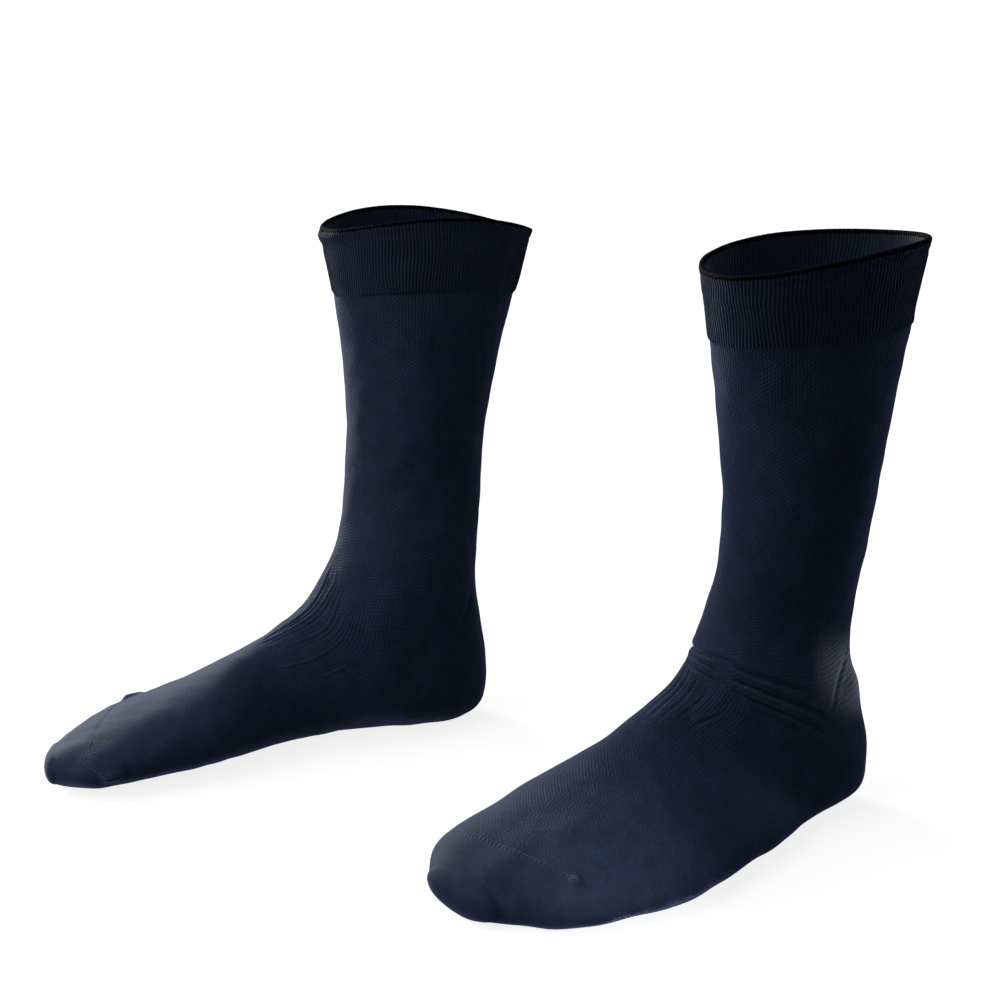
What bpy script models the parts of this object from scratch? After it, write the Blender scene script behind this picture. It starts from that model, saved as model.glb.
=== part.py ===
"""A worn pair of plain fine-knit crew socks: hollow cloth walls, five pieces to each sock.

Metres, +Z up, toes towards -Y, the left sock at +X. The origin is in the middle of the left cuff,
where the calf holds it.

A sock is a run of sections from its rim down the leg, round the heel and along the foot. Each
section goes round the sock by an angle: 0 at the front or instep, 90 on the outer side, 180 at the
calf, heel or sole, and 270 on the inner side.
"""

from collections import namedtuple

import bmesh
import bpy
import numpy as np

MM = 0.001
FULL_TURN = 360.0

GRIP_HEIGHT = 280 * MM  # from the soles up to the origin
WALL = 1.2 * MM  # one layer of knit
SEAM_GAP = 0.3 * MM
CUFF_PROUD = 1.0 * MM  # the doubled cuff stands out from the leg by this
RIB_COUNT = 168  # wales round a cuff
RIB_HEIGHT = 0.3 * MM
POINTS_PER_RIB = 2
CUFF_INNER_POINTS = 42  # a whole number of ribs to each
CUFF_ROLL = 1.5 * MM  # height over which the cuff's lower edge rounds out

COLUMNS = 36  # points round a plain piece
OUTER_SIDE, INNER_SIDE = 90.0, 270.0  # the heel pocket goes from one to the other round the back
LEG_ROWS = 6
ANKLE_ROWS = 12
FOOT_ROWS = 8
TOE_ROWS = 4
TOE_TIP_ROWS = 3
TOE_TIP = 7 * MM  # depth of the rounded end past the last section
TOE_TIP_CLOSE = 0.97  # share of that depth at which a small flat cap closes it
TOE_SLANT = 0.25  # the sections past the ball of the foot turn, so the inner side reaches further
INNER_SOLE_ROUND = 2.0  # the sole rounds up more on the inner side, into the arch
TOE_OUT = 7.0  # degrees by which each foot is turned out

SEAM_RIDGE = 0.6 * MM  # the linked toe seam stands out by this
SEAM_WIDTH = 3.0 * MM
SEAM_DIP = 22 * MM  # how far the toe seam falls back from the front to the sides
EAR_HEIGHT = 3.5 * MM  # the seam's ends stick out as small ears
EAR_RADIUS = 4.5 * MM
EAR_COLUMN = 5.0  # degrees from an ear to the extra points on either side of it
EAR_ABOVE = 1.5 * MM  # the ear stands on the toe side of the seam's line

ANKLE_HEIGHT = 90 * MM  # the leg leans from here up
LEAN_EASE = 30 * MM  # over which the lean sets in
RIM_TILT_HEIGHT = 160 * MM  # the rim's tilt fades in from here
RIM_TILT_EASE = 140 * MM

NUDGE = 0.5 * MM  # small steps along and round a sock, to measure its slopes
NUDGE_ANGLE = 0.5

# Millimetres, forward of and above the foot's own zero under the ankle. Inner and outer are the half
# widths; the ridge and the keel are how far the front and the back point lie towards the inner side.
# Widest is the share of the way from front to back, and 2 is an ellipse's roundness.
Section = namedtuple(
    "Section",
    "name front_y front_z back_y back_z inner outer ridge keel widest front_round back_round",
)
SECTIONS = (
    Section("rim", 62, 300, -66, 300, 46, 44, -3, -3, 0.50, 2.0, 2.0),
    Section("cuff_base", 51, 262, -59, 262, 43, 42, -1, -2, 0.50, 2.0, 2.0),
    Section("shin", 37, 202, -51, 200, 38, 37, 0, -2, 0.50, 2.0, 2.0),
    Section("low_leg", 34, 145, -52, 141, 33, 30, 2, 0, 0.50, 2.0, 2.0),
    Section("ankle_top", 38, 116, -52, 98, 35, 28, 5, 3, 0.50, 2.0, 2.0),
    Section("ankle", 45, 101, -55, 70, 35, 31, 7, 2, 0.52, 2.0, 2.0),
    Section("heel_back", 53, 90, -61, 40, 34, 34, 9, -1, 0.55, 2.0, 2.1),
    Section("heel_turn", 62, 83, -57, 7, 34, 35, 11, -1, 0.60, 2.0, 2.3),
    Section("heel_front", 73, 77, -27, 0, 34, 33, 13, 1, 0.65, 2.0, 2.6),
    Section("arch_back", 86, 70, 13, 0, 31, 36, 15, -6, 0.66, 2.0, 2.6),
    Section("arch", 106, 61, 61, 0, 33, 43, 17, -10, 0.66, 2.0, 2.6),
    Section("ball_back", 131, 50, 109, 0, 43, 51, 19, -8, 0.66, 2.0, 2.8),
    Section("ball", 162, 39, 155, 0, 46, 49, 15, -3, 0.62, 2.1, 2.6),
    Section("toes", 187, 30, 187, 0, 36, 37, 15, 3, 0.55, 2.2, 2.5),
    Section("toe_end", 201, 24, 201, 2, 18, 22, 17, 8, 0.50, 2.2, 2.2),
)
MIN_STEP = 6 * MM  # least run from one section to the next

# Side is +1 where the outer side is at +X. The leans are the leg's slopes forward and outward. The rim
# is tilted by a slope to the front, lifted, and raised again at its two sides. Toe_reach moves the end
# of the foot forward. The toe seam stands at seam_run in front, and is further forward by seam_slope on
# the inner side. Its two ends, the ears, are at two angles.
Sock = namedtuple(
    "Sock",
    "name side place lean_forward lean_out rim_tilt rim_lift rim_rise toe_reach seam_run seam_slope ears",
)
SOCKS = (
    Sock(
        name="right",
        side=-1,
        place=(-245 * MM, -106 * MM),
        lean_forward=-0.164,
        lean_out=0.062,
        rim_tilt=0.03,
        rim_lift=1 * MM,
        rim_rise=10 * MM,
        toe_reach=2 * MM,
        seam_run=437 * MM,
        seam_slope=22 * MM,
        ears=(47, 276),
    ),
    Sock(
        name="left",
        side=+1,
        place=(-19 * MM, 3 * MM),
        lean_forward=0.052,
        lean_out=0.106,
        rim_tilt=-0.11,
        rim_lift=4 * MM,
        rim_rise=4 * MM,
        toe_reach=-5 * MM,
        seam_run=432 * MM,
        seam_slope=2 * MM,
        ears=(62, 276),
    ),
)

# Folds across the front of an ankle: how far past the ankle section each one lies in front (mm), how
# much further by the outer side (mm), its depth and half width (mm), and the angles it runs between.
Fold = namedtuple("Fold", "start drop depth half_width first last")
FOLDS = {
    "left": (
        Fold(2, 6, 0.9, 2.6, -30, 90),
        Fold(9, 12, 1.3, 2.8, -25, 110),
        Fold(15, 17, 1.2, 2.8, -20, 105),
    ),
    "right": (),
}

Knit = namedtuple("Knit", "name colour roughness")
RIB_KNIT = Knit("navy rib knit", (0.012, 0.017, 0.036, 1), 0.85)
PLAIN_KNIT = Knit("navy plain knit", (0.014, 0.020, 0.042, 1), 0.80)
POCKET_KNIT = Knit("navy heel and toe knit", (0.013, 0.018, 0.039, 1), 0.78)


def clear_scene():
    for obj in list(bpy.data.objects):
        bpy.data.objects.remove(obj, do_unlink=True)


def natural_spline(knots, values, at):
    """A natural cubic spline through rows of values, read at an array of runs."""
    step = np.diff(knots)
    slope = np.diff(values, axis=0) / step[:, None]
    system = np.eye(len(knots))
    bend = np.zeros_like(values)
    for i in range(1, len(knots) - 1):
        system[i, i - 1 : i + 2] = step[i - 1], 2 * (step[i - 1] + step[i]), step[i]
        bend[i] = 6 * (slope[i] - slope[i - 1])
    curve = np.linalg.solve(system, bend)
    k = np.clip(np.searchsorted(knots, at, side="right") - 1, 0, len(step) - 1)
    h = step[k][..., None]
    after = (at - knots[k])[..., None]
    before = h - after
    return (
        curve[k] * before**3 / (6 * h)
        + curve[k + 1] * after**3 / (6 * h)
        + (values[k] / h - curve[k] * h / 6) * before
        + (values[k + 1] / h - curve[k + 1] * h / 6) * after
    )


def section_table():
    """The sections in metres, and the run along the sock at which each one stands."""
    table = np.array([section[1:] for section in SECTIONS], dtype=float)
    table[:, :8] *= MM
    middle = (table[:, 0:2] + table[:, 2:4]) / 2
    steps = np.linalg.norm(np.diff(middle, axis=0), axis=1)
    runs = np.concatenate([[0.0], np.cumsum(np.maximum(steps, MIN_STEP))])
    return table, runs


TABLE, RUNS = section_table()
RUN = {section.name: run for section, run in zip(SECTIONS, RUNS)}


def round_power(value, roundness):
    return np.sign(value) * np.abs(value) ** (2 / roundness)


def skin(sock, run, angle):
    """Points of the outer face, as outward, forward and up, for arrays of runs and angles."""
    run, angle = np.broadcast_arrays(run, angle)
    past = np.clip((run - RUN["toe_end"]) / TOE_TIP, 0, 1)
    values = natural_spline(RUNS, TABLE, np.minimum(run, RUN["toe_end"]))
    front_y, front_z, back_y, back_z, inner, outer, ridge, keel = np.moveaxis(values[..., :8], -1, 0)
    widest, front_round, back_round = np.moveaxis(values[..., 8:], -1, 0)

    turn = np.radians(angle)
    facing_front = np.cos(turn) >= 0
    roundness = np.where(facing_front, front_round, back_round)
    roundness = np.where(~facing_front & (np.sin(turn) < 0), INNER_SOLE_ROUND, roundness)
    c = round_power(np.cos(turn), roundness)
    s = round_power(np.sin(turn), roundness)
    depth = np.where(facing_front, widest * (1 - c), widest - (1 - widest) * c)
    shrink = np.sqrt(1 - past**2)
    depth = 0.5 + (depth - 0.5) * shrink

    outward = np.where(s >= 0, outer, inner) * s * shrink - (ridge + (keel - ridge) * depth)
    forward = front_y + (back_y - front_y) * depth + TOE_TIP * past
    up = front_z + (back_z - front_z) * depth
    turned = np.clip((run - RUN["ball_back"]) / (RUN["toe_end"] - RUN["ball_back"]), 0, 1)
    forward = forward + turned * (sock.toe_reach - TOE_SLANT * outward)

    rise = np.maximum(up - ANKLE_HEIGHT, 0)
    bend = rise**2 / (rise + LEAN_EASE)
    tilt = np.clip((up - RIM_TILT_HEIGHT) / RIM_TILT_EASE, 0, None) ** 2
    aside = outward / (inner + outer) * 2
    up = up + tilt * (sock.rim_tilt * forward + sock.rim_lift + sock.rim_rise * aside**2)
    return np.stack([outward + sock.lean_out * bend, forward + sock.lean_forward * bend, up], axis=-1)


def signed_angle(angle):
    """The same angle from -180 to 180."""
    return (angle + FULL_TURN / 2) % FULL_TURN - FULL_TURN / 2


def fold_lift(sock, run, angle):
    """How far the folds push the cloth in, as a soft trough along each fold's line."""
    turned = signed_angle(angle)
    lift = np.zeros(np.broadcast(run, angle).shape)
    for fold in FOLDS[sock.name]:
        line = RUN["ankle"] + (fold.start + fold.drop * turned / OUTER_SIDE) * MM
        across = (run - line) / (fold.half_width * MM)
        along = np.clip((turned - fold.first) / (fold.last - fold.first), 0, 1)
        lift -= fold.depth * MM * np.exp(-(across**2)) * np.sqrt(np.sin(np.pi * along))
    return lift


def raised(sock, run, angle, lift=0.0):
    """The outer face with its folds, moved out along its own normal by lift."""
    along = skin(sock, run + NUDGE, angle) - skin(sock, run - NUDGE, angle)
    around = skin(sock, run, angle + NUDGE_ANGLE) - skin(sock, run, angle - NUDGE_ANGLE)
    normal = np.cross(around, along)
    normal /= np.linalg.norm(normal, axis=-1, keepdims=True)
    out = fold_lift(sock, run, angle) + lift
    return skin(sock, run, angle) + normal * out[..., None]


def piece_edge(sock, run, angle, way):
    """The run at which a piece ends: half the seam's gap before (-1) or past (+1) a line of runs."""
    moved = skin(sock, run + NUDGE, angle) - skin(sock, run - NUDGE, angle)
    return run + way * SEAM_GAP * NUDGE / np.linalg.norm(moved, axis=-1)


def side_edge(sock, run, angle, way):
    """The angle at which a piece ends: half the seam's gap before (-1) or past (+1) an angle."""
    moved = skin(sock, run, angle + NUDGE_ANGLE) - skin(sock, run, angle - NUDGE_ANGLE)
    return angle + way * SEAM_GAP * NUDGE_ANGLE / np.linalg.norm(moved, axis=-1)


def toe_seam(sock, angle):
    """The run of the toe seam's line, which falls back to the sides and is level under the sole."""
    turn = np.radians(angle)
    return sock.seam_run - sock.seam_slope * np.sin(turn) - SEAM_DIP * (1 - np.maximum(np.cos(turn), 0))


def even_columns():
    return np.arange(COLUMNS) * FULL_TURN / COLUMNS


def beside_heel(sock, run, way):
    """The columns' angles row by row, which stop just inside (+1) or outside (-1) the heel's sides."""
    angle = np.repeat(even_columns()[None], len(run), axis=0)
    for edge, inward in ((OUTER_SIDE, +1), (INNER_SIDE, -1)):
        at = angle == edge
        angle[at] = side_edge(sock, run[at], angle[at], way * inward)
    return angle


def cells_at_heel():
    """Which of the cells between two columns are the heel pocket's."""
    middle = even_columns() + FULL_TURN / COLUMNS / 2
    return (middle > OUTER_SIDE) & (middle < INNER_SIDE)


def rows_between(first, last, count):
    """Count rows of runs from one line to another, without the last line."""
    share = np.arange(count)[:, None] / count
    return first + share * (last - first)


def in_mesh_space(sock, points):
    """Outward, forward and up as x, y and z under the foot's own empty."""
    x = sock.side * points[..., 0]
    return np.stack([x, -points[..., 1], points[..., 2] - GRIP_HEIGHT], axis=-1)


def add_grid(mesh, sock, points, kept=None):
    """Adds a grid of points, closed round its columns, with faces on the cells that are kept."""
    rows, columns = points.shape[:2]
    place = in_mesh_space(sock, points)
    grid = [[mesh.verts.new(point) for point in row] for row in place]
    for i in range(rows - 1):
        for j in range(columns):
            if kept is None or kept[i, j]:
                k = (j + 1) % columns
                mesh.faces.new((grid[i][j], grid[i][k], grid[i + 1][k], grid[i + 1][j]))
    return grid


def add_object(mesh, name, knit, foot):
    """Turns the closed mesh's faces outwards and stands it under the foot's empty."""
    bmesh.ops.delete(mesh, geom=[v for v in mesh.verts if not v.link_faces], context="VERTS")
    bmesh.ops.recalc_face_normals(mesh, faces=mesh.faces)
    data = bpy.data.meshes.new(name)
    mesh.to_mesh(data)
    mesh.free()
    data.shade_smooth()
    data.set_sharp_from_angle(angle=np.radians(40))
    data.materials.append(knit)
    obj = bpy.data.objects.new(name, data)
    obj.parent = foot
    bpy.context.scene.collection.objects.link(obj)
    return obj


def add_wall(name, sock, foot, knit, run, angle, kept=None, lift=0.0, capped=False):
    """One cloth wall on a grid of runs and angles: an outer and an inner face, joined at the edges."""
    mesh = bmesh.new()
    outer = add_grid(mesh, sock, raised(sock, run, angle, lift), kept)
    inner = add_grid(mesh, sock, raised(sock, run, angle, -WALL), kept)
    if capped:
        mesh.faces.new(outer[-1])
        mesh.faces.new(inner[-1])
    partner = {v: w for row, other in zip(outer, inner) for v, w in zip(row, other)}
    for edge in [e for e in mesh.edges if e.is_boundary and e.verts[0] in partner]:
        a, b = edge.verts
        mesh.faces.new((a, b, partner[b], partner[a]))
    return add_object(mesh, name, knit, foot)


def build_cuff(sock, foot, knit):
    """The doubled, ribbed cuff: every second outer point is raised over a plain inside."""
    points = RIB_COUNT * POINTS_PER_RIB
    around = np.arange(points) * FULL_TURN / points
    bottom = piece_edge(sock, RUN["cuff_base"], around, -1)
    run = np.stack([np.zeros(points), bottom - CUFF_ROLL, bottom])
    lift = np.array([[CUFF_PROUD], [CUFF_PROUD], [CUFF_PROUD / 2]])
    ribs = RIB_HEIGHT * (np.arange(points) % POINTS_PER_RIB)
    step = points // CUFF_INNER_POINTS  # outer points to each inner one

    mesh = bmesh.new()
    outer = add_grid(mesh, sock, raised(sock, run, around, lift + ribs))
    inner = add_grid(mesh, sock, raised(sock, run[:, ::step], around[::step], -WALL))
    for ring, inside in ((outer[0], inner[0]), (outer[-1], inner[-1])):
        close_between(mesh, ring, inside, step)
    return add_object(mesh, sock.name + "_cuff", knit, foot)


def close_between(mesh, ring, inside, step):
    """Closes an edge from a fine ring to a coarse one that has a point for every step of it."""
    middle = step // 2
    for j, near in enumerate(inside):
        far = inside[(j + 1) % len(inside)]
        for k in range(step):
            a = ring[j * step + k]
            b = ring[(j * step + k + 1) % len(ring)]
            mesh.faces.new((a, b, near if k < middle else far))
        mesh.faces.new((ring[j * step + middle], far, near))


def build_leg(sock, foot, knit):
    """The plain tube from under the cuff to the ankle."""
    angle = even_columns()
    top = piece_edge(sock, RUN["cuff_base"], angle, +1)
    bottom = piece_edge(sock, RUN["ankle"], angle, -1)
    run = np.concatenate([rows_between(top, bottom, LEG_ROWS), bottom[None]])
    return add_wall(sock.name + "_leg", sock, foot, knit, run, angle)


def build_heel(sock, foot, knit):
    """The heel pocket, from side to side round the back between the leg and the sole."""
    angle = even_columns()
    top = piece_edge(sock, RUN["ankle"], angle, +1)
    bottom = piece_edge(sock, RUN["heel_front"], angle, -1)
    run = np.concatenate([rows_between(top, bottom, ANKLE_ROWS), bottom[None]])
    kept = np.repeat(cells_at_heel()[None], ANKLE_ROWS, axis=0)
    return add_wall(sock.name + "_heel", sock, foot, knit, run, beside_heel(sock, run, +1), kept)


def build_foot(sock, foot, knit):
    """The instep over the heel pocket, and the tube of the foot up to the toe seam."""
    angle = even_columns()
    top = piece_edge(sock, RUN["ankle"], angle, +1)
    heel_front = piece_edge(sock, RUN["heel_front"], angle, +1)
    bottom = piece_edge(sock, toe_seam(sock, angle), angle, -1)
    run = np.concatenate(
        [
            rows_between(top, heel_front, ANKLE_ROWS),
            rows_between(heel_front, bottom, FOOT_ROWS),
            bottom[None],
        ]
    )
    kept = np.ones((ANKLE_ROWS + FOOT_ROWS, COLUMNS), dtype=bool)
    kept[:ANKLE_ROWS] = ~cells_at_heel()
    return add_wall(sock.name + "_foot", sock, foot, knit, run, beside_heel(sock, run, -1), kept)


def build_toe(sock, foot, knit):
    """The toe pocket, with the raised seam over the toes and an ear at each of its ends."""
    beside = [ear + way * EAR_COLUMN for ear in sock.ears for way in (-1, 0, 1)]
    angle = np.unique(np.concatenate([even_columns(), beside]))
    seam = piece_edge(sock, toe_seam(sock, angle), angle, +1)
    ridge = seam + SEAM_WIDTH / 2
    clear = seam + SEAM_WIDTH
    end = np.full(len(angle), RUN["toe_end"])
    round_off = np.linspace(0, np.arcsin(TOE_TIP_CLOSE), TOE_TIP_ROWS + 1)
    tip = end + TOE_TIP * np.sin(round_off)[:, None]
    run = np.concatenate([seam[None], ridge[None], rows_between(clear, end, TOE_ROWS), tip])

    lift = np.zeros(run.shape)
    first, last = (signed_angle(ear) for ear in sorted(sock.ears, key=signed_angle))
    on_top = (signed_angle(angle) > first) & (signed_angle(angle) < last)
    lift[1, on_top] = SEAM_RIDGE
    for ear in sock.ears:
        peak = skin(sock, toe_seam(sock, ear) + EAR_ABOVE, ear)
        away = np.linalg.norm(skin(sock, run, angle) - peak, axis=-1)
        lift += EAR_HEIGHT * np.exp(-((away / EAR_RADIUS) ** 2))
    return add_wall(sock.name + "_toe", sock, foot, knit, run, angle, lift=lift, capped=True)


def make_knit(knit):
    material = bpy.data.materials.new(knit.name)
    material.use_nodes = True
    shader = material.node_tree.nodes["Principled BSDF"]
    shader.inputs["Base Color"].default_value = knit.colour
    shader.inputs["Roughness"].default_value = knit.roughness
    shader.inputs["Metallic"].default_value = 0.0
    return material


def build_sock(sock, rib_knit, plain_knit, pocket_knit):
    foot = bpy.data.objects.new(sock.name + "_foot_place", None)
    foot.location = (*sock.place, 0)
    foot.rotation_euler.z = sock.side * np.radians(TOE_OUT)
    bpy.context.scene.collection.objects.link(foot)
    build_cuff(sock, foot, rib_knit)
    build_leg(sock, foot, plain_knit)
    build_heel(sock, foot, pocket_knit)
    build_foot(sock, foot, plain_knit)
    build_toe(sock, foot, pocket_knit)


def main():
    clear_scene()
    knits = [make_knit(knit) for knit in (RIB_KNIT, PLAIN_KNIT, POCKET_KNIT)]
    for sock in SOCKS:
        build_sock(sock, *knits)


main()
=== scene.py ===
# A worn pair of navy crew socks: ribbed cuffs, knitted tubes, toe pockets and linked toe seams.
# Metres, +Z up, toes towards -Y, with the origin in the middle of the left cuff.
import bmesh
import bpy
import numpy as np
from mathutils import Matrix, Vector


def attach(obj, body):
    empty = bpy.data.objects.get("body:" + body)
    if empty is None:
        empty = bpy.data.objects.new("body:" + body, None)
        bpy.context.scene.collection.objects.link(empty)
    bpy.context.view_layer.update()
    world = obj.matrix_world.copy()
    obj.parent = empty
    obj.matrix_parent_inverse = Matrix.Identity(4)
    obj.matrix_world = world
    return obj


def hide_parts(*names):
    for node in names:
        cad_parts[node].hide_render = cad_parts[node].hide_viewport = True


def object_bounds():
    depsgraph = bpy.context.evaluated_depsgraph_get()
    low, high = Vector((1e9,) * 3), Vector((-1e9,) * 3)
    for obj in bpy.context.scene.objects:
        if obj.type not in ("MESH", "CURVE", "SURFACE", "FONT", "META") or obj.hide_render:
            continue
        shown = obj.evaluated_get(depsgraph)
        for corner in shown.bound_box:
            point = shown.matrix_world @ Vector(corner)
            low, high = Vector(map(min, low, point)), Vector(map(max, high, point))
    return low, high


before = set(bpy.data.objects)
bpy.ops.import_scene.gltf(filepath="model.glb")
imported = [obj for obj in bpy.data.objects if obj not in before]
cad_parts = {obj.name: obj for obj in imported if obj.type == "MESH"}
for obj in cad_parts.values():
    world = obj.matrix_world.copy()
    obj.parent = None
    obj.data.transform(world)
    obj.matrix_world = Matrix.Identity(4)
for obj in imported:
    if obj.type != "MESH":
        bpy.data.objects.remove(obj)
cadLow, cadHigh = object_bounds()
mm = 0.001

# A row for each ring of a sock, from the rim down the leg and along the foot, in millimetres forward of
# and above the foot's own zero. Columns: front y, front z, back y, back z, inner and outer half width,
# how far the front and the back point lie to the inner side, the share of the depth where the ring is
# widest, and how square the front and the back are (2 is an ellipse).
rings = {
    "rim": (62, 300, -66, 300, 46, 44, -3, -3, 0.50, 2.0, 2.0),
    "cuffBase": (51, 262, -59, 262, 43, 42, -1, -2, 0.50, 2.0, 2.0),
    "shin": (37, 202, -51, 200, 38, 37, 0, -2, 0.50, 2.0, 2.0),
    "lowLeg": (34, 145, -52, 141, 33, 30, 2, 0, 0.50, 2.0, 2.0),
    "ankleTop": (38, 116, -52, 98, 35, 28, 5, 3, 0.50, 2.0, 2.0),
    "ankle": (45, 101, -55, 70, 35, 31, 7, 2, 0.52, 2.0, 2.0),
    "heelBack": (53, 90, -61, 40, 34, 34, 9, -1, 0.55, 2.0, 2.1),
    "heelTurn": (62, 83, -57, 7, 34, 35, 11, -1, 0.60, 2.0, 2.3),
    "heelFront": (73, 77, -27, 0, 34, 33, 13, 1, 0.65, 2.0, 2.6),
    "archBack": (86, 70, 13, 0, 31, 36, 15, -6, 0.66, 2.0, 2.6),
    "arch": (106, 61, 61, 0, 33, 43, 17, -10, 0.66, 2.0, 2.6),
    "ballBack": (131, 50, 109, 0, 43, 51, 19, -8, 0.66, 2.0, 2.8),
    "ball": (162, 39, 155, 0, 46, 49, 15, -3, 0.62, 2.1, 2.6),
    "toes": (187, 30, 187, 0, 36, 37, 15, 3, 0.55, 2.2, 2.5),
    "toeEnd": (201, 24, 201, 2, 18, 22, 17, 8, 0.50, 2.2, 2.2),
}
form = {
    "gripHeight": 280 * mm,  # from the soles up to the origin
    "leastStep": 6 * mm,  # from one ring's middle to the next
    "tipDepth": 7 * mm,  # of the rounded end past the last ring
    "toeSlant": 0.25,  # the rings past the ball turn, so the inner side reaches further
    "innerSoleRound": 2.0,  # the sole's inner side is less square than its outer side
    "toeOut": 7.0,  # degrees by which each foot is turned out
    "ankleHeight": 90 * mm,  # the leg leans from here up
    "leanEase": 30 * mm,
    "rimTiltHeight": 160 * mm,  # the rim's tilt fades in from here
    "rimTiltEase": 140 * mm,
    "wall": 1.1 * mm,  # one layer of knit
    "wales": 168,  # columns of stitches round a sock
    "course": 1.8 * mm,  # rows of stitches, drawn nearly twice as coarse as real so that they show
    "smallStep": 0.5 * mm,  # to either side, where a direction on the skin is wanted
    "smallTurn": 0.5,  # degrees
}

# Side is +1 where the outer side is at +X. The toe seam crosses the top at seamRun, runs back by seamDip
# at the sides, and ends in an ear at two angles; earTail is how long an ear is for its width. SeamShows
# gives (angle, strength) points along it. Pulled is where the wales are drawn into long lines: run mm,
# angle and radius mm. Falling is how much the falling lines of stitches on the foot show. The leans are
# slopes of the leg. The rim is tilted by a slope towards the front, lifted, and raised at both sides.
socks = {
    "right": {
        "side": -1,
        "place": (-245 * mm, -106 * mm),
        "leanForward": -0.164,
        "leanOut": 0.062,
        "rimTilt": 0.03,
        "rimLift": 1 * mm,
        "rimRise": 10 * mm,
        "toeReach": 2 * mm,
        "seamRun": 434 * mm,
        "seamSlope": 18 * mm,
        "seamDip": 22 * mm,
        "ears": (47, -84),
        "earTail": 3.2,
        "seamShows": [(-84, 0.4), (-40, 0.2), (-14, 0.25), (0, 0.6), (12, 0.9), (47, 1.0)],
        "pulled": (250, -14, 34),
        "falling": 0.35,
        "ribs": 184,
    },
    "left": {
        "side": +1,
        "place": (-19 * mm, 3 * mm),
        "leanForward": 0.052,
        "leanOut": 0.106,
        "rimTilt": -0.11,
        "rimLift": 4 * mm,
        "rimRise": 4 * mm,
        "toeReach": -5 * mm,
        "seamRun": 436 * mm,
        "seamSlope": 0,
        "seamDip": 15 * mm,
        "ears": (60, -84),
        "earTail": 0.75,
        "seamShows": [
            (-84, 0.5), (-40, 0.8), (0, 1.0), (15, 0.9), (28, 0.25), (38, 0.3), (50, 0.9), (60, 1.0)
        ],
        "pulled": (254, 2, 34),
        "falling": 1.0,
        "ribs": 160,
    },
}

ringTable = np.array(list(rings.values()), dtype=float)
ringTable[:, :8] *= mm
ringMiddles = (ringTable[:, 0:2] + ringTable[:, 2:4]) / 2
ringSteps = np.linalg.norm(np.diff(ringMiddles, axis=0), axis=1)
ringRuns = np.concatenate([[0.0], np.cumsum(np.maximum(ringSteps, form["leastStep"]))])
runOf = dict(zip(rings, ringRuns))


# A natural cubic spline: third-order curves between the knots that share slope and bend, straight at
# both ends. Values holds a row for each knot, and at may be an array of any shape.
def naturalSpline(knots, values, at):
    step = np.diff(knots)
    slope = np.diff(values, axis=0) / step[:, None]
    system = np.eye(len(knots))
    bend = np.zeros_like(values)
    for i in range(1, len(knots) - 1):
        system[i, i - 1:i + 2] = step[i - 1], 2 * (step[i - 1] + step[i]), step[i]
        bend[i] = 6 * (slope[i] - slope[i - 1])
    curve = np.linalg.solve(system, bend)
    k = np.clip(np.searchsorted(knots, at, side="right") - 1, 0, len(step) - 1)
    h = step[k][..., None]
    after = (at - knots[k])[..., None]
    before = h - after
    return (
        curve[k] * before**3 / (6 * h)
        + curve[k + 1] * after**3 / (6 * h)
        + (values[k] / h - curve[k] * h / 6) * before
        + (values[k + 1] / h - curve[k + 1] * h / 6) * after
    )


# The smooth outer face as outward, forward and up. Run goes down the leg and along the foot through the
# rings. Angle goes round: 0 in front, 90 on the outer side, 180 at the back. Each ring is a squared
# ellipse with its own front and back, and past the last one the rings shrink as a quarter circle does.
# Above the ankle the leg leans by rise^2 / (rise + ease), and the rim tilts by the square of its height.
def skin(sock, run, angle):
    run, angle = np.broadcast_arrays(run, angle)
    past = np.clip((run - runOf["toeEnd"]) / form["tipDepth"], 0, 1)
    values = naturalSpline(ringRuns, ringTable, np.minimum(run, runOf["toeEnd"]))
    frontY, frontZ, backY, backZ, inner, outer, ridge, keel = np.moveaxis(values[..., :8], -1, 0)
    widest, frontRound, backRound = np.moveaxis(values[..., 8:], -1, 0)

    cosine, sine = np.cos(np.radians(angle)), np.sin(np.radians(angle))
    roundness = np.where(cosine >= 0, frontRound, backRound)
    roundness = np.where((cosine < 0) & (sine < 0), form["innerSoleRound"], roundness)
    c = np.sign(cosine) * np.abs(cosine) ** (2 / roundness)
    s = np.sign(sine) * np.abs(sine) ** (2 / roundness)
    shrink = np.sqrt(1 - past**2)
    depth = np.where(cosine >= 0, widest * (1 - c), widest - (1 - widest) * c)
    depth = 0.5 + (depth - 0.5) * shrink

    outward = np.where(s >= 0, outer, inner) * s * shrink - (ridge + (keel - ridge) * depth)
    forward = frontY + (backY - frontY) * depth + form["tipDepth"] * past
    up = frontZ + (backZ - frontZ) * depth
    turned = np.clip((run - runOf["ballBack"]) / (runOf["toeEnd"] - runOf["ballBack"]), 0, 1)
    forward = forward + turned * (sock["toeReach"] - form["toeSlant"] * outward)

    rise = np.maximum(up - form["ankleHeight"], 0)
    bend = rise**2 / (rise + form["leanEase"])
    tilt = np.clip((up - form["rimTiltHeight"]) / form["rimTiltEase"], 0, None) ** 2
    aside = outward / (inner + outer) * 2
    up = up + tilt * (sock["rimTilt"] * forward + sock["rimLift"] + sock["rimRise"] * aside**2)
    return np.stack(
        [outward + sock["leanOut"] * bend, forward + sock["leanForward"] * bend, up], axis=-1
    )


# The vectors at length 1.
def unit(steps):
    return steps / np.maximum(np.linalg.norm(steps, axis=-1, keepdims=True), 1e-12)


# The direction towards the heel, from a small step along the skin.
def heelward(sock, run, angle):
    step = form["smallStep"]
    return unit(skin(sock, run - step, angle) - skin(sock, run + step, angle))


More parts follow.
